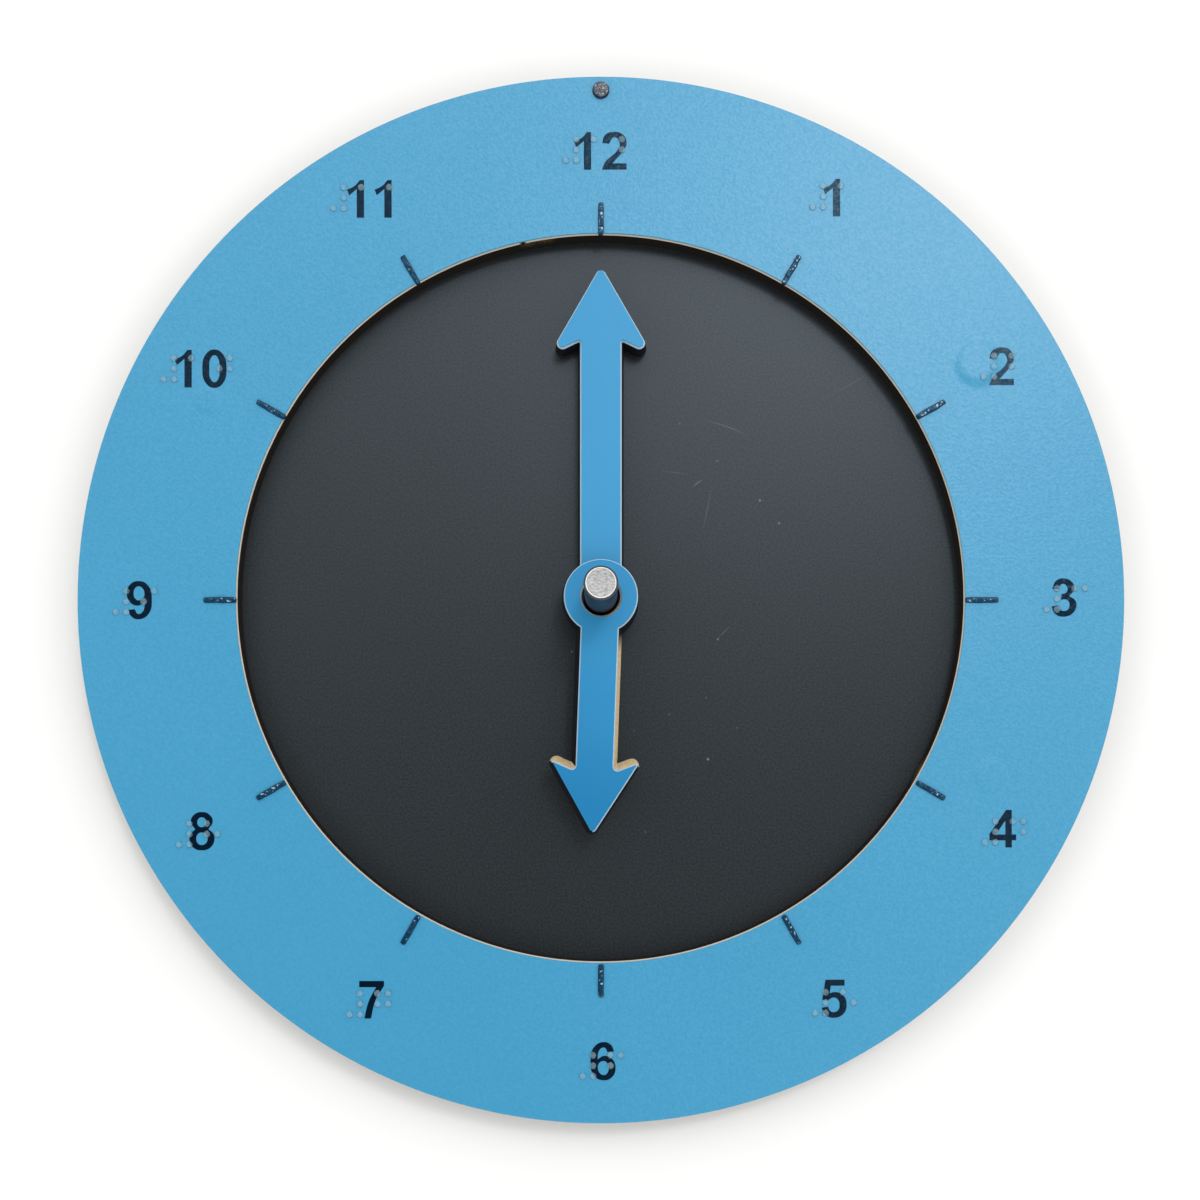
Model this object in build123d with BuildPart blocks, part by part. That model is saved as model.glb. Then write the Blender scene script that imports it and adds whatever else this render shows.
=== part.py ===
# Tactile teaching clock, in millimetres. It lies on its back with the dial facing +Z and twelve o'clock
# towards +Y. The origin is on the post's axis, at the back of the board.
import os
from math import cos, radians, sin, tan

from build123d import *

# Board and dial ring
dial_diameter = 230.0
board_thickness = 4.0
board_face_thickness = 0.5
ring_width = 35.3
ring_thickness = 3.7
dial_face_thickness = 0.4
opening_chamfer = 0.35

# Raised dot just inside the rim, so that fingers find the top
top_dot_diameter = 3.7
top_dot_height = 0.6
top_dot_ease = 0.35
top_dot_edge_gap = 1.2

# Post, and the countersunk screw that holds it from behind
post_diameter = 7.0
post_height = 26.0
post_chamfer = 0.4
post_seat_depth = 1.2
post_clearance = 0.05
screw_diameter = 4.0
screw_head_diameter = 7.6
screw_head_recess = 0.2
screw_reach = 8.0
screw_clearance = 0.2
screw_seat_clearance = 0.05
thread_clearance = 0.05
tapped_hole_spare = 1.5
socket_width = 2.5
socket_depth = 1.2

# Washers under and between the hands, a little smaller than the hubs
washer_inset = 1.15
washer_thickness = 0.8
washer_clearance = 0.2
running_gap = 0.2

# Both hands: a cut core with an eased edge, and a film on it
hand_thickness = 3.4
hand_face_thickness = 0.4
hand_edge_chamfer = 0.35
hub_hole_clearance = 0.65
hub_wall = 3.85

# Minute hand, the long lower one: its rounded tip stops short of the ring
minute_tip_gap = 7.4
minute_shaft_width = 9.15
minute_head_angle = 30.0
minute_head_width = 22.6
minute_barb_slope = 26.0
minute_tip_radius = 1.1
minute_notch_radius = 0.5
minute_barb_radius = 1.2

# Hour hand, the short upper one: its barbs are cut on a slant at the back, so that the core shows
hour_shortfall = 21.5
hour_shaft_width = 8.2
hour_head_angle = 31.0
hour_head_width = 19.1
hour_barb_slope = 18.0
hour_barb_bevel = 1.4
hour_tip_radius = 0.8
hour_barb_radius = 0.6
hour_rest_angle = 182.1

# Raised hour marks, from the edge of the opening outwards
mark_length = 7.0
mark_inner_width = 1.0
mark_middle_width = 1.3
mark_outer_width = 1.15
mark_height = 0.5
mark_ease = 0.2
mark_edge_gap = 0.25

# Braille: clear beads in standard cells over the numerals, a little outside the middle of the band between
# the marks and the rim. Twelve sits lower, clear of the top dot.
bead_diameter = 1.5
bead_height = 0.55
bead_ease = 0.35
dot_pitch = 2.3
cell_pitch = 6.15
braille_outset = 1.125
twelve_drop = 3.3
braille_shift_x = -0.2
braille_shift_y = -0.35

# Angles and counts
hours = range(1, 13)
hour_step = 30.0
bead_sides = 8
number_sign = (3, 4, 5, 6)
digit_dots = {
    "0": (2, 4, 5),
    "1": (1,),
    "2": (1, 2),
    "3": (1, 4),
    "4": (1, 4, 5),
    "5": (1, 5),
    "6": (1, 2, 4),
    "7": (1, 2, 4, 5),
    "8": (1, 2, 5),
    "9": (2, 4),
}

# Heights above the back of the board
board_front = board_thickness
face_front = board_front + board_face_thickness
ring_front = face_front + ring_thickness
dial_front = ring_front + dial_face_thickness
lower_washer_base = face_front
minute_base = lower_washer_base + washer_thickness + running_gap
minute_front = minute_base + hand_thickness + hand_face_thickness
upper_washer_base = minute_front + running_gap
hour_base = upper_washer_base + washer_thickness + running_gap
post_foot = board_front - post_seat_depth
post_tip = face_front + post_height

# Radii
dial_radius = dial_diameter / 2
opening_radius = dial_radius - ring_width
top_dot_place = dial_radius - top_dot_edge_gap - top_dot_diameter / 2
hub_hole_radius = post_diameter / 2 + hub_hole_clearance
hub_radius = hub_hole_radius + hub_wall
washer_radius = hub_radius - washer_inset
washer_hole_radius = post_diameter / 2 + washer_clearance
minute_reach = opening_radius - minute_tip_gap
hour_reach = minute_reach - hour_shortfall
mark_start = opening_radius + opening_chamfer + mark_edge_gap
mark_end = mark_start + mark_length
braille_radius = (mark_end + dial_radius) / 2 + braille_outset


def clock_plane(angle, height):
    """Plane at a height whose Y axis points to a clock angle, in degrees past twelve."""
    return Plane.XY.offset(height).rotated((0, 0, -angle))


def head_corners(reach, tip_radius, head_angle, head_width):
    """Sharp corners of an arrow head that points along Y: the apex outside its rounded tip, and a barb."""
    apex_y = reach + tip_radius * (1 / sin(radians(head_angle)) - 1)
    barb_x = head_width / 2
    return (0, apex_y), (barb_x, apex_y - barb_x / tan(radians(head_angle)))


def braille_places(hour):
    """Centres of the beads of one hour: a number sign and a cell for each digit, centred on the numeral."""
    cells = [number_sign] + [digit_dots[digit] for digit in str(hour)]
    radius = braille_radius - twelve_drop if hour == max(hours) else braille_radius
    angle = radians(hour * hour_step)
    left = radius * sin(angle) + braille_shift_x - ((len(cells) - 1) * cell_pitch + dot_pitch) / 2
    middle = radius * cos(angle) + braille_shift_y
    places = []
    for cell, dots in enumerate(cells):
        for dot in dots:
            column, row = divmod(dot - 1, 3)
            places.append((left + cell * cell_pitch + column * dot_pitch, middle + (1 - row) * dot_pitch))
    return places


# Back board: the disc that everything is fixed to
with BuildPart() as back_board:
    with BuildSketch():
        Circle(dial_radius)
    extrude(amount=board_thickness)
    with Locations(Plane.XY.offset(board_front)):
        Hole(post_diameter / 2 + post_clearance, depth=post_seat_depth)
    with Locations(-Plane.XY):
        CounterSinkHole(
            radius=screw_diameter / 2 + screw_clearance,
            counter_sink_radius=screw_head_diameter / 2 + screw_head_recess + screw_seat_clearance,
            counter_sink_angle=90,
        )

# Board face: black matt sheet over the whole board, with a hole for the post
with BuildPart() as board_face:
    with BuildSketch(Plane.XY.offset(board_front)):
        Circle(dial_radius)
        Circle(post_diameter / 2 + post_clearance, mode=Mode.SUBTRACT)
    extrude(amount=board_face_thickness)

# Dial ring: its opening has an eased front edge
with BuildPart() as dial_ring:
    with BuildSketch(Plane.XY.offset(face_front)):
        Circle(dial_radius)
        Circle(opening_radius, mode=Mode.SUBTRACT)
    extrude(amount=ring_thickness)
    front_circles = dial_ring.edges().filter_by(GeomType.CIRCLE).group_by(Axis.Z)[-1]
    chamfer(front_circles.sort_by(SortBy.RADIUS)[0], length=opening_chamfer)

# Dial face: blue film on the ring's flat front
with BuildPart() as dial_face:
    extrude(to_extrude=dial_ring.faces().sort_by(Axis.Z)[-1], amount=dial_face_thickness)

# Top dot: a low round stud of the marks' relief, above twelve
with BuildPart() as top_dot:
    with BuildSketch(Plane.XY.offset(dial_front)):
        with Locations((0, top_dot_place)):
            Circle(top_dot_diameter / 2)
    extrude(amount=top_dot_height)
    chamfer(top_dot.edges().group_by(Axis.Z)[-1], length=top_dot_ease)

# Centre post: plain rod with a chamfered end, seated in the board and tapped from below
with BuildPart() as centre_post:
    with BuildSketch(Plane.XY.offset(post_foot)):
        Circle(post_diameter / 2)
    extrude(amount=post_tip - post_foot)
    chamfer(centre_post.edges().group_by(Axis.Z)[-1], length=post_chamfer)
    with BuildSketch(Plane.XY.offset(post_foot)):
        Circle(screw_diameter / 2 + thread_clearance)
    extrude(amount=screw_reach + tapped_hole_spare, mode=Mode.SUBTRACT)

# Post screw: countersunk head just below the back, with a hexagon socket
with BuildPart() as post_screw:
    with BuildSketch(Plane.XZ):
        with BuildLine():
            Polyline(
                (0, screw_head_recess),
                (screw_head_diameter / 2, screw_head_recess),
                (screw_diameter / 2, screw_head_recess + (screw_head_diameter - screw_diameter) / 2),
                (screw_diameter / 2, post_foot + screw_reach),
                (0, post_foot + screw_reach),
                close=True,
            )
        make_face()
    revolve(axis=Axis.Z)
    with BuildSketch(Plane.XY.offset(screw_head_recess)):
        RegularPolygon(socket_width / 2, 6, major_radius=False)
    extrude(amount=socket_depth, mode=Mode.SUBTRACT)

# Washers: one under the minute hand and one between the hands
with BuildPart() as lower_washer:
    with BuildSketch(Plane.XY.offset(lower_washer_base)):
        Circle(washer_radius)
        Circle(washer_hole_radius, mode=Mode.SUBTRACT)
    extrude(amount=washer_thickness)

with BuildPart() as upper_washer:
    with BuildSketch(Plane.XY.offset(upper_washer_base)):
        Circle(washer_radius)
        Circle(washer_hole_radius, mode=Mode.SUBTRACT)
    extrude(amount=washer_thickness)

# Minute hand: straight walls, at twelve, with a notch where each swept barb meets the shaft
minute_apex, minute_barb = head_corners(
    minute_reach, minute_tip_radius, minute_head_angle, minute_head_width
)
minute_side = minute_shaft_width / 2
minute_notch_y = minute_barb[1] + (minute_barb[0] - minute_side) * tan(radians(minute_barb_slope))
with BuildPart() as minute_hand:
    with BuildSketch(Plane.XY.offset(minute_base)) as arrow:
        with BuildLine():
            Polyline(minute_apex, minute_barb, (minute_side, minute_notch_y), (minute_side, 0), (0, 0))
            mirror(about=Plane.YZ)
        make_face()
        fillet(arrow.vertices().group_by(Axis.Y)[-1], minute_tip_radius)
        fillet(arrow.vertices().group_by(Axis.Y)[2], minute_notch_radius)
        fillet(arrow.vertices().group_by(Axis.Y)[1], minute_barb_radius)
        Circle(hub_radius)
        Circle(hub_hole_radius, mode=Mode.SUBTRACT)
    extrude(amount=hand_thickness)
    chamfer(minute_hand.edges().group_by(Axis.Z)[-1], length=hand_edge_chamfer)

with BuildPart() as minute_hand_face:
    extrude(to_extrude=minute_hand.faces().sort_by(Axis.Z)[-1], amount=hand_face_thickness)

# Hour hand, drawn pointing along Y. Half of the head is cut on a slant behind its barb and mirrored, and then
# the shaft and hub join it. The head is wider at the back, where the slant ends.
barb_slope = radians(hour_barb_slope)
slant_rise = hour_barb_bevel / cos(barb_slope)
slant_spread = slant_rise / (1 / tan(radians(hour_head_angle)) - tan(barb_slope))
hour_apex, hour_barb = head_corners(
    hour_reach, hour_tip_radius, hour_head_angle, hour_head_width + 2 * slant_spread
)
hour_neck_y = hour_barb[1] + hour_barb[0] * tan(barb_slope)
barb_slant = Plane(
    origin=hour_barb,
    x_dir=(-cos(barb_slope), sin(barb_slope)),
    z_dir=(hand_thickness * sin(barb_slope), hand_thickness * cos(barb_slope), -hour_barb_bevel),
)
with BuildPart() as hour_blank:
    with BuildSketch() as half_head:
        with BuildLine():
            Polyline(hour_apex, hour_barb, (0, hour_neck_y), close=True)
        make_face()
        fillet(half_head.vertices().sort_by(Axis.X)[-1], hour_barb_radius)
    extrude(amount=hand_thickness)
    split(bisect_by=barb_slant)
    mirror(about=Plane.YZ)
    fillet(hour_blank.edges().group_by(Axis.Y)[-1], hour_tip_radius)
    with BuildSketch():
        Rectangle(hour_shaft_width, hour_neck_y + 2 * slant_rise, align=(Align.CENTER, Align.MIN))
        Circle(hub_radius)
        Circle(hub_hole_radius, mode=Mode.SUBTRACT)
    extrude(amount=hand_thickness)
    chamfer(hour_blank.edges().group_by(Axis.Z)[-1], length=hand_edge_chamfer)

with BuildPart() as hour_hand:
    with Locations(clock_plane(hour_rest_angle, hour_base)):
        add(hour_blank.part)

with BuildPart() as hour_hand_face:
    extrude(to_extrude=hour_hand.faces().sort_by(Axis.Z)[-1], amount=hand_face_thickness)

pieces = {
    "back_board": back_board,
    "board_face": board_face,
    "dial_ring": dial_ring,
    "dial_face": dial_face,
    "top_dot": top_dot,
    "centre_post": centre_post,
    "post_screw": post_screw,
    "lower_washer": lower_washer,
    "upper_washer": upper_washer,
    "minute_hand": minute_hand,
    "minute_hand_face": minute_hand_face,
    "hour_hand": hour_hand,
    "hour_hand_face": hour_hand_face,
}

# Hour marks: one raised bar at each hour, widest in the middle and narrowest at the opening
for hour in hours:
    with BuildPart() as hour_mark:
        with BuildSketch(clock_plane(hour * hour_step, dial_front)):
            with BuildLine():
                side = ThreePointArc(
                    (mark_inner_width / 2, mark_start),
                    (mark_middle_width / 2, (mark_start + mark_end) / 2),
                    (mark_outer_width / 2, mark_end),
                )
                Line((0, mark_start), side @ 0)
                Line(side @ 1, (0, mark_end))
                mirror(about=Plane.YZ)
            make_face()
        extrude(amount=mark_height)
        chamfer(hour_mark.edges().group_by(Axis.Z)[-1], length=mark_ease)
    pieces[f"hour_mark_{hour}"] = hour_mark

# Braille bead: a low dome in flat facets
with BuildPart() as bead:
    with BuildSketch():
        RegularPolygon(bead_diameter / 2, bead_sides)
    extrude(amount=bead_height)
    chamfer(bead.edges().group_by(Axis.Z)[-1], length=bead_ease)

for hour in hours:
    with BuildPart() as braille:
        with Locations(*[(x, y, dial_front) for x, y in braille_places(hour)]):
            add(bead.part)
    pieces[f"braille_{hour}"] = braille

os.makedirs("parts", exist_ok=True)
for name, piece in pieces.items():
    piece.part.label = name
    export_step(piece.part, f"parts/{name}.step")
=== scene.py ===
import bpy
import math
import random
from mathutils import Matrix, Vector


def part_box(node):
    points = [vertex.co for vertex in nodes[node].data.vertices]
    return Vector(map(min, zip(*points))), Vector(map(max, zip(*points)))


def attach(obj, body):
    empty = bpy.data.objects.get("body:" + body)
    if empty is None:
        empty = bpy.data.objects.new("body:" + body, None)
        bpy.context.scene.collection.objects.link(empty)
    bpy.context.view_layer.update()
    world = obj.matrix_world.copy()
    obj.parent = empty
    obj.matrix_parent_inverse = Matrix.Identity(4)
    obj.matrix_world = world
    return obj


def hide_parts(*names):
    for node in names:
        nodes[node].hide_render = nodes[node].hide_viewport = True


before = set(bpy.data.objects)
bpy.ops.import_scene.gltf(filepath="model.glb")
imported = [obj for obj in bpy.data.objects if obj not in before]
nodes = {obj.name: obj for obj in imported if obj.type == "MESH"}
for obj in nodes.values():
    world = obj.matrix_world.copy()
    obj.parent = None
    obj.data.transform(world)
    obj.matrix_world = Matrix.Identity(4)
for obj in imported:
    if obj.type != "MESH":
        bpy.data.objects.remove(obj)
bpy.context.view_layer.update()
print("frame loaded:", len(nodes), "CAD nodes")

mm = 0.001  # the frame is in metres, and the sizes below are millimetres times this
hair = 0.001 * mm  # points that differ by less are at one height
upright = 0.99  # a flat face's normal is along Z by more than this
noiseSpan = (0.3, 0.7)  # where most of a noise's values lie
hours = range(1, 13)
hourTurn = math.radians(30)
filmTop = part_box("dial_face")[1].z
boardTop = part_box("board_face")[1].z
printing = {"shift": (0.07 * mm, 0.29 * mm, 0), "turn": 0.165}  # the print and the beads lie a little askew
printMove = Matrix.Translation(printing["shift"]) @ Matrix.Rotation(math.radians(printing["turn"]), 4, "Z")


def clockPoint(hour, radius):
    angle = hourTurn * hour
    return Vector((radius * math.sin(angle), radius * math.cos(angle), 0))


def radiiOf(node):
    # nearest and farthest points of a CAD node from the post's axis
    lengths = [point.co.xy.length for point in nodes[node].data.vertices]
    return min(lengths), max(lengths)


def pickOnly(piece):
    bpy.ops.object.select_all(action="DESELECT")
    piece.select_set(True)
    bpy.context.view_layer.objects.active = piece


def editPicked(piece, kind, test):
    # leaves the piece in edit mode with only the faces, edges or points that pass the test selected
    pickOnly(piece)
    kinds = ("vertices", "edges", "polygons")
    for each in kinds:
        group = getattr(piece.data, each)
        group.foreach_set("select", [False] * len(group))
    for item in getattr(piece.data, kind):
        item.select = test(item)
    bpy.context.tool_settings.mesh_select_mode = [each == kind for each in kinds]
    bpy.ops.object.mode_set(mode="EDIT")


def editAll(piece):
    pickOnly(piece)
    bpy.ops.object.mode_set(mode="EDIT")
    bpy.ops.mesh.select_all(action="SELECT")


def leaveEdit():
    bpy.ops.object.mode_set(mode="OBJECT")


def placeInMesh(piece):
    pickOnly(piece)
    bpy.ops.object.transform_apply(location=True, rotation=True, scale=True)


def smoothBelow(piece, degrees):
    pickOnly(piece)
    bpy.ops.object.shade_smooth_by_angle(angle=math.radians(degrees))


def copyOf(piece, name, move):
    copy = bpy.data.objects.new(name, piece.data.copy())
    bpy.context.scene.collection.objects.link(copy)
    copy.data.transform(move)
    return copy


def joinAs(name, group):
    bpy.ops.object.select_all(action="DESELECT")
    for piece in group:
        piece.select_set(True)
    bpy.context.view_layer.objects.active = group[0]
    if len(group) > 1:
        bpy.ops.object.join()
    joined = bpy.context.view_layer.objects.active
    joined.name = name
    joined.data.name = name
    return joined


def dress(piece, material):
    piece.data.materials.clear()
    piece.data.materials.append(material)


def settle(piece, name, material, body, node):
    # names and dresses a finished piece, and gives it the body, node and material slot that it stands for
    piece.name = name
    piece.data.name = name
    dress(piece, material)
    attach(piece, body)
    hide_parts(node)


def linear(code):
    # sRGB hex to the linear colour that shaders use
    parts = [int(code[i:i + 2], 16) / 255 for i in (1, 3, 5)]
    return (*[c / 12.92 if c <= 0.04045 else ((c + 0.055) / 1.055) ** 2.4 for c in parts], 1)


def addNode(tree, kind, inputs=None, **settings):
    # kind is the node's type without its first part, and a node given as an input is linked by its first
    # output in use
    node = tree.nodes.new("ShaderNode" + kind)
    for name, value in settings.items():
        setattr(node, name, value)
    for socket, value in (inputs or {}).items():
        if isinstance(value, bpy.types.Node):
            value = next(output for output in value.outputs if output.enabled)
        if isinstance(value, bpy.types.NodeSocket):
            tree.links.new(value, node.inputs[socket])
        else:
            node.inputs[socket].default_value = value
    return node


def ranges(start, stop=(0, 1)):
    # inputs that turn one range of values into another
    return {"From Min": start[0], "From Max": start[1], "To Min": stop[0], "To Max": stop[1]}


def startMaterial(name):
    material = bpy.data.materials.new(name)
    material.use_nodes = True
    tree = material.node_tree
    tree.nodes.clear()
    return material, tree, addNode(tree, "TexCoord").outputs["Object"]


def finishMaterial(tree, shader):
    addNode(tree, "OutputMaterial", {"Surface": shader})


# Blue film: self-adhesive vinyl, calendered. Satin blue with a fine orange peel that breaks up the sheen,
# and a few air blisters where it was laid over the board.
filmLook = {
    "colour": "#3591B9",
    "driftColour": "#409AC4",
    "driftSize": 45 * mm,
    "roughness": 0.40,
    "sheen": (0.50, 0.80),  # in the peel's pits and on its tops
    "peelShare": 0.4,
    "peelSize": 0.6 * mm,  # coarser than real, so that it shows
    "peelDepth": 0.07 * mm,
    "blisters": [  # place from the dial's centre, radius and height
        (82.9, 52.1, 5.9, 0.38),
        (-86.6, 44.2, 3.6, 0.13),
        (85.7, -38.6, 4.5, 0.10),
        (4.3, -94.8, 4.0, 0.07),
    ],
    "blisterFlat": 0.5,  # share of the radius that is flat
}


def makeFilm(look):
    material, tree, place = startMaterial("vinylFilm")
    drift = addNode(tree, "TexNoise", {"Vector": place, "Scale": 1 / look["driftSize"], "Detail": 3})
    peel = addNode(tree, "TexNoise", {"Vector": place, "Scale": 1 / look["peelSize"], "Detail": 2})
    fine = addNode(tree, "MapRange", {"Value": peel, **ranges(noiseSpan)})
    share = addNode(tree, "Mix", {0: look["peelShare"], 2: drift, 3: fine})
    colour = addNode(
        tree, "Mix", {0: share, 6: linear(look["colour"]), 7: linear(look["driftColour"])}, data_type="RGBA"
    )
    height = addNode(tree, "Math", {0: peel, 1: look["peelDepth"]}, operation="MULTIPLY")
    for x, y, radius, rise in look["blisters"]:
        away = addNode(tree, "VectorMath", {0: place, 1: (x * mm, y * mm, filmTop)}, operation="DISTANCE")
        rim = (look["blisterFlat"] * radius * mm, radius * mm)
        dome = addNode(
            tree, "MapRange", {"Value": away, **ranges(rim, (rise * mm, 0))}, interpolation_type="SMOOTHSTEP"
        )
        height = addNode(tree, "Math", {0: height, 1: dome})
    bump = addNode(tree, "Bump", {"Height": height, "Distance": 1.0})  # heights are in metres
    sheen = addNode(tree, "MapRange", {"Value": fine, **ranges((0, 1), look["sheen"])})
    finishMaterial(tree, addNode(
        tree, "BsdfPrincipled",
        {"Base Color": colour, "Roughness": look["roughness"], "Specular IOR Level": sheen, "Normal": bump},
    ))
    return material


# Hand films: the same vinyl, smoother and deeper in colour, a cut from another roll on each hand. Towards its
# hub the hour hand is painted paler, a painted sheen where the hand catches more light.
minuteFilmLook = {
    "colour": "#3992C3",
    "paintedSheenColour": "#3A94C6",
    "paintedSheen": (46 * mm, 12 * mm),  # distances from the axis at which the painted sheen starts and is full
    "driftSize": 25 * mm,
    "drift": (-0.3, 0.3),
    "roughness": 0.40,
    "peelSize": 0.8 * mm,
    "peelDepth": 0.02 * mm,
    "sheen": 0.30,
}
hourFilmLook = {**minuteFilmLook, "colour": "#1B7AAE", "paintedSheenColour": "#308CBF"}


def makeHandFilm(name, look):
    material, tree, place = startMaterial(name)
    drift = addNode(tree, "TexNoise", {"Vector": place, "Scale": 1 / look["driftSize"], "Detail": 2})
    sway = addNode(tree, "MapRange", {"Value": drift, **ranges((0, 1), look["drift"])})
    flat = addNode(tree, "VectorMath", {0: place, 1: (1, 1, 0)}, operation="MULTIPLY")
    fromAxis = addNode(tree, "VectorMath", {0: flat}, operation="LENGTH")
    # painted sheen: the hand is painted paler towards its hub
    paintedSheen = addNode(tree, "MapRange", {"Value": fromAxis, **ranges(look["paintedSheen"])})
    share = addNode(tree, "Math", {0: paintedSheen, 1: sway}, use_clamp=True)
    colour = addNode(
        tree, "Mix", {0: share, 6: linear(look["colour"]), 7: linear(look["paintedSheenColour"])}, data_type="RGBA"
    )
    peel = addNode(tree, "TexNoise", {"Vector": place, "Scale": 1 / look["peelSize"], "Detail": 1})
    bump = addNode(tree, "Bump", {"Height": peel, "Distance": look["peelDepth"]})
    finishMaterial(tree, addNode(
        tree, "BsdfPrincipled",
        {
            "Base Color": colour, "Roughness": look["roughness"], "Normal": bump,
            "Specular IOR Level": look["sheen"],
        },
    ))
    return material


# Black sheet: matt charcoal laminate, rubbed by use and polished towards eleven. Faint cloudy scuffs and a
# fine grain, a few thin scratches and single pale specks of dust.
sheetLook = {
    "colour": "#0F1214",
    "scuffColour": "#15191B",
    "scuffSize": 26 * mm,
    "grainSize": 0.45 * mm,
    "grainShare": 0.08,
    "paleColour": "#7E868A",
    "darkColour": "#0B0D0E",
    "sheenTint": "#D6E6F4",
    "roughness": 0.44,
    "sheen": (0.45, 0.80),  # from the dull side to the side that hands have polished
    "sheenSide": (-0.6, 0.8, 0),
    "sheenReach": 67 * mm,
    "grainDepth": 0.004 * mm,
    "scratches": [  # middle, centre of the arc, half length, half width, strength, pale or dark
        ((28.2, 39.35), (17.4, 8.8), 6.4, 0.16, 0.30, "pale"),
        ((23.8, 21.0), (-51.7, 35.7), 6.8, 0.16, 0.24, "pale"),
        ((21.6, 26.8), (57.6, -21.2), 1.7, 0.20, 0.45, "pale"),
        ((16.8, 29.1), (8.8, -30.9), 3.8, 0.16, 0.16, "pale"),
        ((27.4, -6.6), (57.0, -33.4), 2.4, 0.18, 0.30, "pale"),
        ((55.6, 48.7), (20.0, 110.0), 8.0, 0.16, 0.12, "pale"),
        ((-23.4, -42.6), (22.7, -153.0), 8.2, 0.20, 0.60, "dark"),
        ((14.6, -29.0), (-20.0, -27.0), 5.0, 0.20, 0.40, "dark"),
    ],
    "specks": [  # place, radius and strength
        (35.5, 22.9, 0.36, 0.75),
        (39.8, 17.8, 0.34, 0.65),
        (23.9, -34.9, 0.40, 0.95),
        (-6.5, -10.9, 0.34, 0.60),
        (26.1, -8.1, 0.36, 0.60),
        (25.9, 31.7, 0.30, 0.45),
        (15.3, -24.9, 0.30, 0.40),
        (7.4, -28.6, 0.28, 0.35),
        (23.5, -21.2, 0.28, 0.35),
        (30.4, -27.9, 0.28, 0.35),
        (9.9, -51.2, 0.30, 0.40),
        (17.6, 40.1, 0.28, 0.35),
    ],
}


def makeSheet(look):
    material, tree, place = startMaterial("mattLaminate")
    pale = linear(look["paleColour"])
    scuff = addNode(
        tree, "TexNoise", {"Vector": place, "Scale": 1 / look["scuffSize"], "Detail": 6, "Roughness": 0.62}
    )
    colour = addNode(
        tree, "Mix", {0: scuff, 6: linear(look["colour"]), 7: linear(look["scuffColour"])}, data_type="RGBA"
    )
    grain = addNode(tree, "TexNoise", {"Vector": place, "Scale": 1 / look["grainSize"], "Detail": 2})
    lift = addNode(tree, "MapRange", {"Value": grain, **ranges(noiseSpan, (0, look["grainShare"]))})
    colour = addNode(tree, "Mix", {0: lift, 6: colour, 7: pale}, data_type="RGBA")
    for middle, bend, half, width, strength, tone in look["scratches"]:
        radius = (Vector(middle) - Vector(bend)).length
        bendPlace = (bend[0] * mm, bend[1] * mm, boardTop)
        fromBend = addNode(tree, "VectorMath", {0: place, 1: bendPlace}, operation="DISTANCE")
        off = addNode(tree, "Math", {0: fromBend, 1: radius * mm}, operation="SUBTRACT")
        offSize = addNode(tree, "Math", {0: off}, operation="ABSOLUTE")
        line = addNode(tree, "MapRange", {"Value": offSize, **ranges((0, width * mm), (strength, 0))})
        middlePlace = (middle[0] * mm, middle[1] * mm, boardTop)
        fromMiddle = addNode(tree, "VectorMath", {0: place, 1: middlePlace}, operation="DISTANCE")
        fade = addNode(
            tree, "MapRange", {"Value": fromMiddle, **ranges((0, half * mm), (1, 0))},
            interpolation_type="SMOOTHSTEP",
        )
        share = addNode(tree, "Math", {0: line, 1: fade}, operation="MULTIPLY")
        shade = linear(look[tone + "Colour"])
        colour = addNode(tree, "Mix", {0: share, 6: colour, 7: shade}, data_type="RGBA")
    for x, y, radius, strength in look["specks"]:
        away = addNode(tree, "VectorMath", {0: place, 1: (x * mm, y * mm, boardTop)}, operation="DISTANCE")
        share = addNode(tree, "MapRange", {"Value": away, **ranges((0, radius * mm), (strength, 0))})
        colour = addNode(tree, "Mix", {0: share, 6: colour, 7: pale}, data_type="RGBA")
    bump = addNode(tree, "Bump", {"Height": grain, "Distance": look["grainDepth"]})
    along = addNode(tree, "VectorMath", {0: place, 1: look["sheenSide"]}, operation="DOT_PRODUCT")
    reach = (-look["sheenReach"], look["sheenReach"])
    sheen = addNode(tree, "MapRange", {"Value": along, **ranges(reach, look["sheen"])})
    finishMaterial(tree, addNode(
        tree, "BsdfPrincipled",
        {
            "Base Color": colour, "Roughness": look["roughness"], "Normal": bump,
            "Specular IOR Level": sheen, "Specular Tint": linear(look["sheenTint"]),
        },
    ))
    return material


# Fibreboard: medium-density wood fibre. A hot cutter left its walls scorched almost black, raw tan fibre
# shows in spots, and the eased edge is sanded to a pale line. On the hands the dark walls are partly painted
# shade: the hour hand's walls show raw tan only where they face the light.
backLook = {
    "rawColour": "#8E7350",
    "fleckColour": "#5C462C",
    "scorchAndShadeColour": "#17110C",
    "easedColour": "#CFC4AE",
    "fleckSize": 0.6 * mm,
    "fleckSpan": (0.35, 0.7),
    "roughness": 0.85,
    "sheen": 0.2,
    "scorchAndShade": 0.55,
    "easedFacing": (0.5, 0.65),  # from wall to eased edge, by how far up it faces
    "rawSpots": [],  # x, y and size of a spot that stayed raw
    "spotStrength": 1.2,
    "stains": [],  # x, y, size and colour of a stain or burn, the eased edge included
    "litSide": None,  # direction of the light: walls that face it show raw tan, the others keep the dark colour as painted shade
    "litTurn": (-0.05, 0.1),  # from painted shade to lit raw tan, as a wall turns that way
    "litFrom": (0, 0),  # and with the distance from the axis
    "shadeSide": None,  # direction that an eased edge in painted shade faces
    "shadeTurn": (0.48, 0.60),  # from pale to painted shade, as it turns that way
    "shadeFrom": 0,  # and how far from the axis it starts
}
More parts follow.
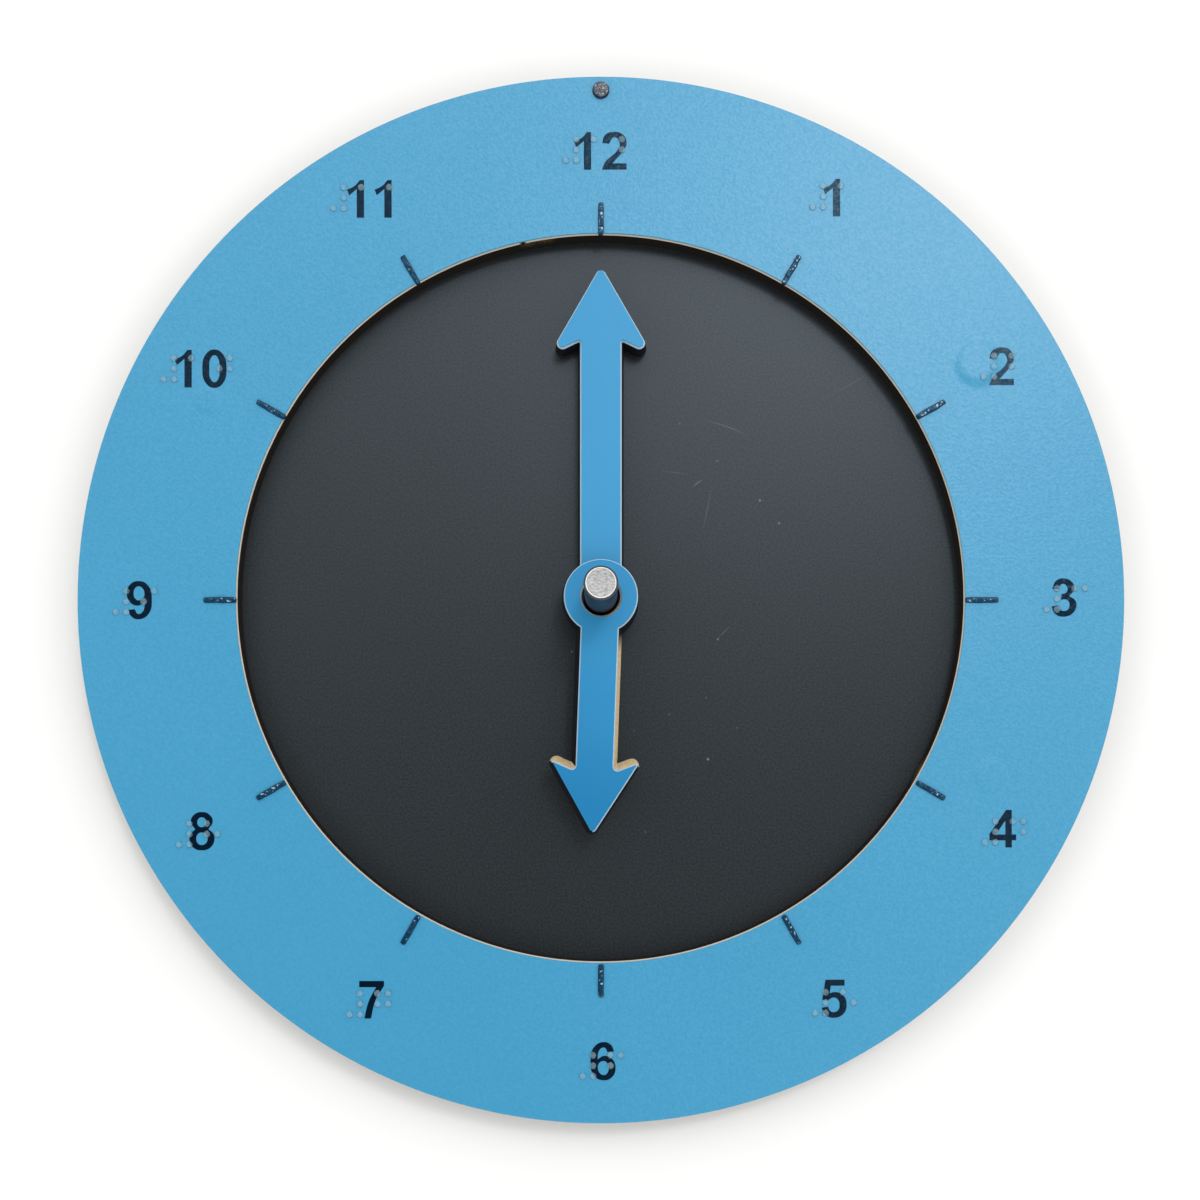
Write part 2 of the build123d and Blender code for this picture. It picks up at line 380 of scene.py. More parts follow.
ringLook = {
    **backLook,
    "scorchAndShadeColour": "#0D0A08",
    "easedColour": "#C0B8A8",
    "scorchAndShade": 0.98,
    "rawSpots": [(-15.8, 78.4, 2.6), (-12.0, 79.0, 2.6), (70.4, -37.4, 4.0)],
    "stains": [(-17.1, 78.3, 1.0, "#0C0806"), (-19.2, 77.4, 0.7, "#A39B78"), (-14.8, 78.2, 0.6, "#8E8B74")],
}
# the hands' walls are painted navy-black all round, partly scorch and partly painted shade
minuteLook = {**backLook, "easedColour": "#A6BFD0", "scorchAndShadeColour": "#06080E", "scorchAndShade": 1.0}
# painted shade on the hour hand: walls that face the light show raw tan, the others stay near-black
hourLook = {
    **minuteLook,
    "rawColour": "#D2BC96",
    "fleckColour": "#B39A70",
    "stains": [(6.4, -35.4, 0.5, "#3A2716"), (3.0, -3.0, 4.0, "#BE9866")],
    "litSide": (0.3, 0.95, 0),
    "litFrom": (9 * mm, 12.6 * mm),
    "shadeSide": (-0.6, -0.8, 0),
    "shadeFrom": 30 * mm,
}


def makeFibreboard(name, look, height):
    # the spots and stains lie at the given height
    material, tree, place = startMaterial(name)
    normal = addNode(tree, "TexCoord").outputs["Normal"]
    facing = addNode(tree, "SeparateXYZ", {0: normal}).outputs["Z"]
    flat = addNode(tree, "VectorMath", {0: place, 1: (1, 1, 0)}, operation="MULTIPLY")
    fromAxis = addNode(tree, "VectorMath", {0: flat}, operation="LENGTH")
    fleck = addNode(
        tree, "TexNoise", {"Vector": place, "Scale": 1 / look["fleckSize"], "Detail": 4, "Roughness": 0.7}
    )
    contrast = addNode(tree, "MapRange", {"Value": fleck, **ranges(look["fleckSpan"])})
    raw = addNode(
        tree, "Mix", {0: contrast, 6: linear(look["rawColour"]), 7: linear(look["fleckColour"])},
        data_type="RGBA",
    )
    scorchAndShade = look["scorchAndShade"]
    for x, y, size in look["rawSpots"]:
        away = addNode(tree, "VectorMath", {0: place, 1: (x * mm, y * mm, height)}, operation="DISTANCE")
        spot = addNode(tree, "MapRange", {"Value": away, **ranges((0, size * mm), (look["spotStrength"], 0))})
        ragged = addNode(tree, "Math", {0: spot, 1: contrast}, operation="MULTIPLY")
        scorchAndShade = addNode(tree, "Math", {0: scorchAndShade, 1: ragged}, operation="SUBTRACT", use_clamp=True)
    # painted shade: walls turned from the light keep the dark colour, walls that face it show raw tan past
    # the hub
    if look["litSide"]:
        along = addNode(tree, "VectorMath", {0: normal, 1: look["litSide"]}, operation="DOT_PRODUCT")
        kept = addNode(tree, "MapRange", {"Value": along, **ranges(look["litTurn"], (1, 0))})
        near = addNode(tree, "MapRange", {"Value": fromAxis, **ranges(look["litFrom"], (1, 0))})
        kept = addNode(tree, "Math", {0: kept, 1: near}, operation="MAXIMUM")
        scorchAndShade = addNode(tree, "Math", {0: scorchAndShade, 1: kept}, operation="MULTIPLY")
    colour = addNode(tree, "Mix", {0: scorchAndShade, 6: raw, 7: linear(look["scorchAndShadeColour"])}, data_type="RGBA")
    eased = addNode(tree, "MapRange", {"Value": facing, **ranges(look["easedFacing"])})
    # painted shade: the eased edge turned from the light takes the wall's dark colour, away from the hub
    if look["shadeSide"]:
        turned = addNode(tree, "VectorMath", {0: normal, 1: look["shadeSide"]}, operation="DOT_PRODUCT")
        pale = addNode(tree, "MapRange", {"Value": turned, **ranges(look["shadeTurn"], (1, 0))})
        near = addNode(tree, "Math", {0: fromAxis, 1: look["shadeFrom"]}, operation="LESS_THAN")
        pale = addNode(tree, "Math", {0: pale, 1: near}, operation="MAXIMUM")
        eased = addNode(tree, "Math", {0: eased, 1: pale}, operation="MULTIPLY")
    colour = addNode(tree, "Mix", {0: eased, 6: colour, 7: linear(look["easedColour"])}, data_type="RGBA")
    for x, y, size, tone in look["stains"]:
        away = addNode(tree, "VectorMath", {0: place, 1: (x * mm, y * mm, height)}, operation="DISTANCE")
        stain = addNode(tree, "MapRange", {"Value": away, **ranges((size * mm / 2, size * mm), (1, 0))})
        colour = addNode(tree, "Mix", {0: stain, 6: colour, 7: linear(tone)}, data_type="RGBA")
    finishMaterial(tree, addNode(
        tree, "BsdfPrincipled",
        {"Base Color": colour, "Roughness": look["roughness"], "Specular IOR Level": look["sheen"]},
    ))
    return material


# Printing ink: dark navy under a thin gloss that is broken into streaks, so it stays dark outside the sheen
# and is pale blue in it
inkLook = {
    "colour": "#020B1C", "thinColour": "#07182C", "patchSize": 1.4 * mm, "patchDepth": 0.10 * mm,
    "roughness": 0.30, "sheen": 0.38, "sheenTint": "#70CCFF",
    "streakSize": 0.5 * mm, "streakSpan": (0.4, 0.6), "coat": (0, 0.46), "coatRoughness": 0.13,
}


def makeInk(look):
    material, tree, place = startMaterial("printingInk")
    patch = addNode(tree, "TexNoise", {"Vector": place, "Scale": 1 / look["patchSize"], "Detail": 3})
    colour = addNode(
        tree, "Mix", {0: patch, 6: linear(look["colour"]), 7: linear(look["thinColour"])}, data_type="RGBA"
    )
    streak = addNode(tree, "TexNoise", {"Vector": place, "Scale": 1 / look["streakSize"], "Detail": 2})
    coat = addNode(tree, "MapRange", {"Value": streak, **ranges(look["streakSpan"], look["coat"])})
    bump = addNode(tree, "Bump", {"Height": patch, "Distance": look["patchDepth"]})
    finishMaterial(tree, addNode(
        tree, "BsdfPrincipled",
        {
            "Base Color": colour, "Roughness": look["roughness"], "Normal": bump,
            "Specular IOR Level": look["sheen"], "Specular Tint": linear(look["sheenTint"]),
            "Coat Weight": coat, "Coat Roughness": look["coatRoughness"], "Coat Normal": bump,
        },
    ))
    return material


# Clear resin: cast acrylic beads. Pale milky domes with a soft highlight, that let the print show.
beadLook = {"colour": "#ACDAE8", "roughness": 0.38, "ior": 1.26, "wispSize": 2.5 * mm, "milk": (0.10, 0.16)}


def makeBeadResin(look):
    material, tree, place = startMaterial("castAcrylic")
    wisp = addNode(tree, "TexNoise", {"Vector": place, "Scale": 1 / look["wispSize"], "Detail": 1})
    milk = addNode(tree, "MapRange", {"Value": wisp, **ranges(noiseSpan, look["milk"])})
    clear = addNode(tree, "BsdfTransparent")
    body = addNode(tree, "BsdfDiffuse", {"Color": linear(look["colour"])})
    inside = addNode(tree, "MixShader", {0: milk, 1: clear, 2: body})
    gloss = addNode(tree, "BsdfGlossy", {"Roughness": look["roughness"]})
    fresnel = addNode(tree, "Fresnel", {"IOR": look["ior"]})
    finishMaterial(tree, addNode(tree, "MixShader", {0: fresnel, 1: inside, 2: gloss}))
    return material


# Dark resin: navy relief paint, drawn on by hand and dried glossy, so it lies in uneven lumps that glint.
# The pale spots painted on its ridge are painted glints.
markLook = {
    "colour": "#062C46", "thinColour": "#0D3C58", "roughness": 0.20,
    "lumpSize": 1.0 * mm, "lumpDepth": 0.34 * mm,
    "sheen": (0.05, 0.50), "sheenFacing": (0.75, 0.98), "sheenTint": "#B8E4FF",  # dull flanks, glossy top
    # pale spots on the ridge are painted glints
    "paintedSheenColour": "#B0C2CE", "paintedSheenSize": 0.65 * mm, "paintedSheen": (0.60, 0.72), "ridgeFacing": (0.93, 0.99),
}
studLook = {  # the top dot dried rough, and its small pale flecks are painted glints
    **markLook, "colour": "#0B1A2E", "thinColour": "#2C3644", "roughness": 0.24,
    "lumpSize": 0.7 * mm, "lumpDepth": 0.26 * mm,
    "sheen": (0.05, 1.0), "sheenTint": "#FFFFFF",
    "paintedSheenColour": "#A8AEB2", "paintedSheen": (0.57, 0.69),
}


def makeMarkResin(name, look):
    material, tree, place = startMaterial(name)
    normal = addNode(tree, "TexCoord").outputs["Normal"]
    facing = addNode(tree, "SeparateXYZ", {0: normal}).outputs["Z"]
    lump = addNode(tree, "TexNoise", {"Vector": place, "Scale": 1 / look["lumpSize"], "Detail": 1})
    colour = addNode(
        tree, "Mix", {0: lump, 6: linear(look["colour"]), 7: linear(look["thinColour"])}, data_type="RGBA"
    )
    # painted glints: pale spots where the noise is high on the upward-facing ridge
    onRidge = addNode(tree, "MapRange", {"Value": facing, **ranges(look["ridgeFacing"])})
    fleck = addNode(tree, "TexNoise", {"Vector": place, "Scale": 1 / look["paintedSheenSize"], "Detail": 1})
    paintedSheen = addNode(tree, "MapRange", {"Value": fleck, **ranges(look["paintedSheen"])})
    share = addNode(tree, "Math", {0: onRidge, 1: paintedSheen}, operation="MULTIPLY")
    colour = addNode(tree, "Mix", {0: share, 6: colour, 7: linear(look["paintedSheenColour"])}, data_type="RGBA")
    sheen = addNode(tree, "MapRange", {"Value": facing, **ranges(look["sheenFacing"], look["sheen"])})
    bump = addNode(tree, "Bump", {"Height": lump, "Distance": look["lumpDepth"]})
    finishMaterial(tree, addNode(
        tree, "BsdfPrincipled",
        {
            "Base Color": colour, "Roughness": look["roughness"], "Normal": bump,
            "Specular IOR Level": sheen, "Specular Tint": linear(look["sheenTint"]),
        },
    ))
    return material


# Aluminium rod: drawn smooth and dull on its side, whose dark grey colour is a painted shade for the dim room
# that the side reflects. It is sawn off square at the end, so the end is pale and mottled, with a burr round
# it that is painted near-white, partly a painted highlight.
rodLook = {
    "sideShadeColour": "#505258", "sawColour": "#9A9B9D", "sawPale": "#CDCCCB", "burrHighlightColour": "#FAFAF8",
    "roughness": (0.48, 0.65),  # on the side and on the sawn end
    "metallic": (1.0, 0.5),
    "endFacing": (0.9, 0.97),
    "sawSize": 0.8 * mm, "sawSpan": (0.38, 0.62), "sawTurn": 0.9, "sawStretch": 2.4,
    "burr": (2.90 * mm, 2.98 * mm),
}


def makeRodMetal(look):
    material, tree, place = startMaterial("sawnAluminium")
    normal = addNode(tree, "TexCoord").outputs["Normal"]
    facing = addNode(tree, "SeparateXYZ", {0: normal}).outputs["Z"]
    onEnd = addNode(tree, "MapRange", {"Value": facing, **ranges(look["endFacing"])})
    strokes = addNode(
        tree, "Mapping",
        {"Vector": place, "Rotation": (0, 0, look["sawTurn"]), "Scale": (1, look["sawStretch"], 1)},
    )
    saw = addNode(
        tree, "TexNoise", {"Vector": strokes, "Scale": 1 / look["sawSize"], "Detail": 3, "Roughness": 0.7}
    )
    patch = addNode(tree, "MapRange", {"Value": saw, **ranges(look["sawSpan"])})
    end = addNode(
        tree, "Mix", {0: patch, 6: linear(look["sawColour"]), 7: linear(look["sawPale"])}, data_type="RGBA"
    )
    flat = addNode(tree, "VectorMath", {0: place, 1: (1, 1, 0)}, operation="MULTIPLY")
    fromAxis = addNode(tree, "VectorMath", {0: flat}, operation="LENGTH")
    # the burr's ring is painted near-white, partly a painted highlight
    burr = addNode(tree, "MapRange", {"Value": fromAxis, **ranges(look["burr"])})
    end = addNode(tree, "Mix", {0: burr, 6: end, 7: linear(look["burrHighlightColour"])}, data_type="RGBA")
    # the side takes its dark colour, a painted shade for the dim room it reflects
    colour = addNode(tree, "Mix", {0: onEnd, 6: linear(look["sideShadeColour"]), 7: end}, data_type="RGBA")
    rough = addNode(tree, "MapRange", {"Value": onEnd, **ranges((0, 1), look["roughness"])})
    metal = addNode(tree, "MapRange", {"Value": onEnd, **ranges((0, 1), look["metallic"])})
    finishMaterial(tree, addNode(
        tree, "BsdfPrincipled", {"Base Color": colour, "Metallic": metal, "Roughness": rough}
    ))
    return material


# Zinc-plated screw: cool grey metal with a faint mottle
screwLook = {"colour": "#A9ADB0", "dullColour": "#8C9194", "mottleSize": 1.2 * mm, "roughness": 0.35}


def makeScrewSteel(look):
    material, tree, place = startMaterial("zincPlatedSteel")
    mottle = addNode(tree, "TexNoise", {"Vector": place, "Scale": 1 / look["mottleSize"], "Detail": 3})
    colour = addNode(
        tree, "Mix", {0: mottle, 6: linear(look["colour"]), 7: linear(look["dullColour"])}, data_type="RGBA"
    )
    finishMaterial(tree, addNode(
        tree, "BsdfPrincipled", {"Base Color": colour, "Metallic": 1.0, "Roughness": look["roughness"]}
    ))
    return material


# Nylon washers: slightly waxy plastic, coloured near-black as a painted shade for the dark hole round the
# post
washerLook = {
    "colour": "#18181A", "cloudColour": "#202022", "cloudSize": 3 * mm, "roughness": 0.45, "ior": 1.53,
}


def makeNylon(look):
    material, tree, place = startMaterial("shadeBlackNylon")
    cloud = addNode(tree, "TexNoise", {"Vector": place, "Scale": 1 / look["cloudSize"], "Detail": 2})
    colour = addNode(
        tree, "Mix", {0: cloud, 6: linear(look["colour"]), 7: linear(look["cloudColour"])}, data_type="RGBA"
    )
    finishMaterial(tree, addNode(
        tree, "BsdfPrincipled", {"Base Color": colour, "Roughness": look["roughness"], "IOR": look["ior"]}
    ))
    return material


film = makeFilm(filmLook)
minuteFilm = makeHandFilm("minuteVinyl", minuteFilmLook)
hourFilm = makeHandFilm("hourVinyl", hourFilmLook)
sheet = makeSheet(sheetLook)
backBoard = makeFibreboard("backFibreboard", backLook, 0)
ringBoard = makeFibreboard("ringFibreboard", ringLook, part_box("dial_ring")[1].z)
minuteBoard = makeFibreboard("minuteFibreboard", minuteLook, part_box("minute_hand")[1].z)
hourBoard = makeFibreboard("hourFibreboard", hourLook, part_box("hour_hand")[1].z)
ink = makeInk(inkLook)
beadResin = makeBeadResin(beadLook)
markResin = makeMarkResin("glossyRelief", markLook)
studResin = makeMarkResin("roughRelief", studLook)
rodMetal = makeRodMetal(rodLook)
screwSteel = makeScrewSteel(screwLook)
shadeNylon = makeNylon(washerLook)
print("materials made")

for name, material in {
    "back_board": backBoard,
    "board_face": sheet,
    "post_screw": screwSteel,
    "lower_washer": shadeNylon,
    "upper_washer": shadeNylon,
}.items():
    dress(nodes[name], material)
print("CAD nodes dressed")

# Dial ring and its film: the same hoops with more sides, so that the big circles stay round in a close view.
# The opening was cut by hand and lies a little off the middle.
hoop = {"sides": 288, "shift": (-0.1 * mm, 0.45 * mm, 0), "grow": 0.28 * mm, "ease": 0.24 * mm, "smooth": 30}


def modelHoop(name, node, material, grow, ease):
    low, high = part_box(node)
    inner = radiiOf("dial_ring")[0] + grow
    outer = radiiOf(node)[1]
    bpy.ops.object.select_all(action="DESELECT")
    bpy.ops.mesh.primitive_cylinder_add(
        vertices=hoop["sides"], radius=outer, depth=high.z - low.z, location=(0, 0, (low.z + high.z) / 2)
    )
    piece = bpy.context.object
    placeInMesh(piece)
    editPicked(piece, "polygons", lambda face: abs(face.normal.z) > upright)
    bpy.ops.mesh.inset(thickness=(outer - inner) * math.cos(math.pi / hoop["sides"]))
    bpy.ops.transform.translate(value=hoop["shift"])
    bpy.ops.mesh.bridge_edge_loops()
    leaveEdit()
    if ease:
        middle = (inner + outer) / 2
        onRim = [point.co.z > high.z - hair and point.co.xy.length < middle for point in piece.data.vertices]
        editPicked(piece, "edges", lambda edge: all(onRim[i] for i in edge.vertices))
        bpy.ops.mesh.bevel(offset=ease, segments=1, affect="EDGES")
        leaveEdit()
    smoothBelow(piece, hoop["smooth"])
    settle(piece, name, material, "dial", node)


modelHoop("ringBand", "dial_ring", ringBoard, hoop["grow"], hoop["ease"])
modelHoop("filmBand", "dial_face", film, hoop["grow"] + hoop["ease"], 0)
print("ring and film modelled")

# Arrow hands: each is drawn as loops at a few heights, which are bridged into walls. The cut spreads towards
# the back, most of all behind the hour hand's barbs, and the front edge is eased.
arrow = {
    "arcSteps": 10, "hubSteps": 72, "holeEase": 0.40 * mm, "hub": 8.0 * mm, "leastRadius": 0.08 * mm,
    "smooth": 19,
}
minuteArrow = {
    "shaft": 9.15 * mm, "headAngle": 30, "headWidth": 23.3 * mm, "barbSlope": 26, "clockAngle": 0,
    "tipRadius": 1.1 * mm, "barbRadius": 1.3 * mm, "notchRadius": 0.3 * mm,
    "over": 0.15 * mm, "ease": 0.32 * mm,  # reach past the CAD tip, and easing of the front edge
    "flare": (0.40 * mm, 0.40 * mm, 0.45 * mm, 0.35 * mm, 0),  # head's side, barb, shaft, hub, barb's radius
    "slant": (0, 0),  # how far the back is off to one side
}
hourArrow = {
    "shaft": 8.2 * mm, "headAngle": 31, "headWidth": 19.5 * mm, "barbSlope": 22.5, "clockAngle": 182.1,
    "tipRadius": 0.9 * mm, "barbRadius": 0.3 * mm, "notchRadius": 0.8 * mm,
    "over": 0, "ease": 0.26 * mm,
    "flare": (0.65 * mm, 1.45 * mm, 0.90 * mm, 0.35 * mm, 0.22 * mm),
    "slant": (0.15 * mm, 0),
}


def roundCorner(before, corner, after, radius):
    # points of the arc that rounds a corner between two straight edges
    first = (before - corner).normalized()
    second = (after - corner).normalized()
    half = first.angle(second) / 2
    centre = corner + (first + second).normalized() * radius / math.sin(half)
    start = corner + first * radius / math.tan(half) - centre
    stop = corner + second * radius / math.tan(half) - centre
    turn = start.angle_signed(stop)
    steps = arrow["arcSteps"]
    return [centre + Matrix.Rotation(-turn * i / steps, 2) @ start for i in range(steps + 1)]


def arrowLoop(shape, reach, out):
    # an arrow that points along Y, its head's sides, barbs, shaft and hub each moved out by an amount
    headOut, barbOut, shaftOut, hubOut, roundOut = out
    lean = math.tan(math.radians(shape["headAngle"]))
    slope = math.tan(math.radians(shape["barbSlope"]))
    sharp = 1 / math.sin(math.radians(shape["headAngle"]))
    apexY = reach + shape["over"] + shape["tipRadius"] * (sharp - 1)
    barbX = shape["headWidth"] / 2
    # where the barbs' backs would meet
    backY = apexY - barbX / lean + barbX * slope - barbOut * math.hypot(1, slope)
    apexY += headOut * sharp
    barbX = (apexY - backY) * lean / (1 - slope * lean)
    side = shape["shaft"] / 2 + shaftOut
    hub = arrow["hub"] + hubOut
    right = [
        Vector((0, apexY)), Vector((barbX, backY - barbX * slope)), Vector((side, backY - side * slope)),
        Vector((side, math.sqrt(hub ** 2 - side ** 2))),
    ]
    left = [Vector((-p.x, p.y)) for p in right]
    tip = shape["tipRadius"] + headOut
    barb = max(shape["barbRadius"] + (headOut + barbOut) / 2 + roundOut, arrow["leastRadius"])
    notch = max(shape["notchRadius"] - (barbOut + shaftOut) / 2, arrow["leastRadius"])
    start = math.atan2(side, right[3].y)
    turns = [start + (2 * math.pi - 2 * start) * i / arrow["hubSteps"] for i in range(arrow["hubSteps"] + 1)]
    return [
        *roundCorner(left[1], right[0], right[1], tip),
        *roundCorner(right[0], right[1], right[2], barb),
        *roundCorner(right[1], right[2], right[3], notch),
        *[Vector((hub * math.sin(turn), hub * math.cos(turn))) for turn in turns],
        *roundCorner(left[3], left[2], left[1], notch),
        *roundCorner(left[2], left[1], left[0], barb),
    ]


def holeLoop(radius):
    turns = [2 * math.pi * i / arrow["hubSteps"] for i in range(arrow["hubSteps"])]
    return [Vector((radius * math.sin(turn), radius * math.cos(turn))) for turn in turns]


def drawWall(loops):
    # loops of points at their heights, turned into edges and bridged
    group = []
    for height, points in loops:
        curve = bpy.data.curves.new("loop", "CURVE")
        curve.dimensions = "3D"
        spline = curve.splines.new("POLY")
        spline.points.add(len(points) - 1)
        spline.use_cyclic_u = True
        for spot, point in zip(spline.points, points):
            spot.co = (point.x, point.y, height, 1)
        loop = bpy.data.objects.new("loop", curve)
        bpy.context.scene.collection.objects.link(loop)
        pickOnly(loop)
        bpy.ops.object.convert(target="MESH")
        group.append(bpy.context.view_layer.objects.active)
    wall = joinAs("wall", group)
    editAll(wall)
    bpy.ops.mesh.bridge_edge_loops()
    leaveEdit()
    return wall


def closeArrow(walls, low, high, clockAngle):
    piece = joinAs("arrow", walls)
    for level in (low, high):
        onLevel = [abs(point.co.z - level) < hair for point in piece.data.vertices]
        editPicked(piece, "edges", lambda edge: all(onLevel[i] for i in edge.vertices))
        bpy.ops.mesh.fill()
        leaveEdit()
    editAll(piece)
    bpy.ops.mesh.normals_make_consistent(inside=False)
    leaveEdit()
    piece.data.transform(Matrix.Rotation(-math.radians(clockAngle), 4, "Z"))
    smoothBelow(piece, arrow["smooth"])
    return piece


def modelArrow(hand, shape, board, vinyl):
    low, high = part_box(f"{hand}_hand")
    hole, reach = radiiOf(f"{hand}_hand")
    ease = shape["ease"]
    eased = arrowLoop(shape, reach, [-ease] * 4 + [0])
    back = [point + Vector(shape["slant"]) for point in arrowLoop(shape, reach, shape["flare"])]
    rim = hole + arrow["holeEase"]
    core = closeArrow([
        drawWall([
            (low.z, back),
            (high.z - ease, arrowLoop(shape, reach, [0] * 5)),
            (high.z, eased),
        ]),
        drawWall([
            (low.z, holeLoop(hole)), (high.z - arrow["holeEase"], holeLoop(hole)), (high.z, holeLoop(rim)),
        ]),
    ], low.z, high.z, shape["clockAngle"])
    settle(core, f"{hand}Arrow", board, f"{hand}_hand", f"{hand}_hand")
    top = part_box(f"{hand}_hand_face")[1].z
    skin = closeArrow([
        drawWall([(high.z, eased), (top, eased)]),
        drawWall([(high.z, holeLoop(rim)), (top, holeLoop(rim))]),
    ], high.z, top, shape["clockAngle"])
    settle(skin, f"{hand}Skin", vinyl, f"{hand}_hand", f"{hand}_hand_face")


modelArrow("minute", minuteArrow, minuteBoard, minuteFilm)
modelArrow("hour", hourArrow, hourBoard, hourFilm)
print("hands modelled")

# Centre post: a round bar with a worn rim at its sawn end
post = {"sides": 96, "rim": 0.40 * mm, "rimSteps": 1, "burr": 0.15 * mm, "dish": 0.03 * mm, "smooth": 40}


def turnBar(node, shape):
    # a round bar that fills a CAD node's box, with its top rim bevelled
    low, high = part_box(node)
    bpy.ops.object.select_all(action="DESELECT")
    bpy.ops.mesh.primitive_cylinder_add(
        vertices=shape["sides"], radius=(high.x - low.x) / 2, depth=high.z - low.z, location=(low + high) / 2
    )
    bar = bpy.context.object
    placeInMesh(bar)
    onTop = [point.co.z > high.z - hair for point in bar.data.vertices]
    editPicked(bar, "edges", lambda edge: all(onTop[i] for i in edge.vertices))
    bpy.ops.mesh.bevel(offset=shape["rim"], segments=shape["rimSteps"], affect="EDGES")
    leaveEdit()
    return bar


def modelPost():
    bar = turnBar("centre_post", post)
    editPicked(bar, "polygons", lambda face: face.normal.z > upright)
    bpy.ops.mesh.inset(thickness=post["burr"])
    bpy.ops.transform.translate(value=(0, 0, -post["dish"]))
    leaveEdit()
    smoothBelow(bar, post["smooth"])
    settle(bar, "postBar", rodMetal, "dial", "centre_post")


modelPost()
print("post modelled")

# Braille beads: one clear dome, copied into the cells of each hour
bead = {
    "radius": 0.77 * mm, "height": 0.55 * mm, "dotPitch": 2.3 * mm, "cellPitch": 6.15 * mm,
    "segments": 28, "rings": 24, "smooth": 35,
}
numberSign = (3, 4, 5, 6)
digitDots = {
    "0": (2, 4, 5), "1": (1,), "2": (1, 2), "3": (1, 4), "4": (1, 4, 5),
    "5": (1, 5), "6": (1, 2, 4), "7": (1, 2, 4, 5), "8": (1, 2, 5), "9": (2, 4),
}


def modelBead():
    # a low dome, cut from a ball, with its flat side on the plane z = 0
    height = bead["height"]
    ball = (bead["radius"] ** 2 + height ** 2) / (2 * height)
    bpy.ops.object.select_all(action="DESELECT")
    bpy.ops.mesh.primitive_uv_sphere_add(
        segments=bead["segments"], ring_count=bead["rings"], radius=ball, location=(0, 0, height - ball)
    )
    dome = bpy.context.object
    placeInMesh(dome)
    editAll(dome)
    bpy.ops.mesh.bisect(plane_co=(0, 0, 0), plane_no=(0, 0, 1), clear_inner=True, use_fill=True)
    leaveEdit()
    smoothBelow(dome, bead["smooth"])
    return dome


def layBraille(dome):
    dress(dome, beadResin)
    for hour in hours:
        low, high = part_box(f"braille_{hour}")
        middle = (low + high) / 2
        cells = [numberSign] + [digitDots[digit] for digit in str(hour)]
        lastColumn = max((spot - 1) // 3 for spot in cells[-1])
        wide = (len(cells) - 1) * bead["cellPitch"] + lastColumn * bead["dotPitch"]
        corner = Vector((middle.x - wide / 2, middle.y - bead["dotPitch"], low.z))
        group = []
        for cell, spots in enumerate(cells):
            for spot in spots:
                column, row = divmod(spot - 1, 3)
                x = cell * bead["cellPitch"] + column * bead["dotPitch"]
                y = (2 - row) * bead["dotPitch"]
                move = Matrix.Translation(corner + Vector((x, y, 0)))
                group.append(copyOf(dome, "bead", printMove @ move))
        settle(joinAs("beads", group), f"beads{hour}", beadResin, "dial", f"braille_{hour}")
    bpy.data.objects.remove(dome)


layBraille(modelBead())
print("braille laid")

# Top dot: a low lumpy stud of the marks' paint above twelve, flat on top and round at its rim
dot = {"sides": 48, "rim": 0.40 * mm, "rimSteps": 5, "smooth": 40}


def modelTopDot():
    stud = turnBar("top_dot", dot)
    smoothBelow(stud, dot["smooth"])
    settle(stud, "topStud", studResin, "dial", "top_dot")


modelTopDot()

# Hour marks: a bar of relief paint at each hour, drawn by hand from the film's edge, so each is a little
# different
mark = {
    "steps": 9, "sink": 0.4 * mm, "over": 0.04 * mm, "sway": 0.05 * mm,
    "endShare": 0.80, "bulge": (0.1, 0.8),  # start and length of the half wave that its sides follow
    "widthSpread": 0.07, "heightSpread": 0.24, "seed": 7,
    "rounding": 0.30 * mm, "roundSteps": 3, "roundFrom": 50, "smooth": 60,
}


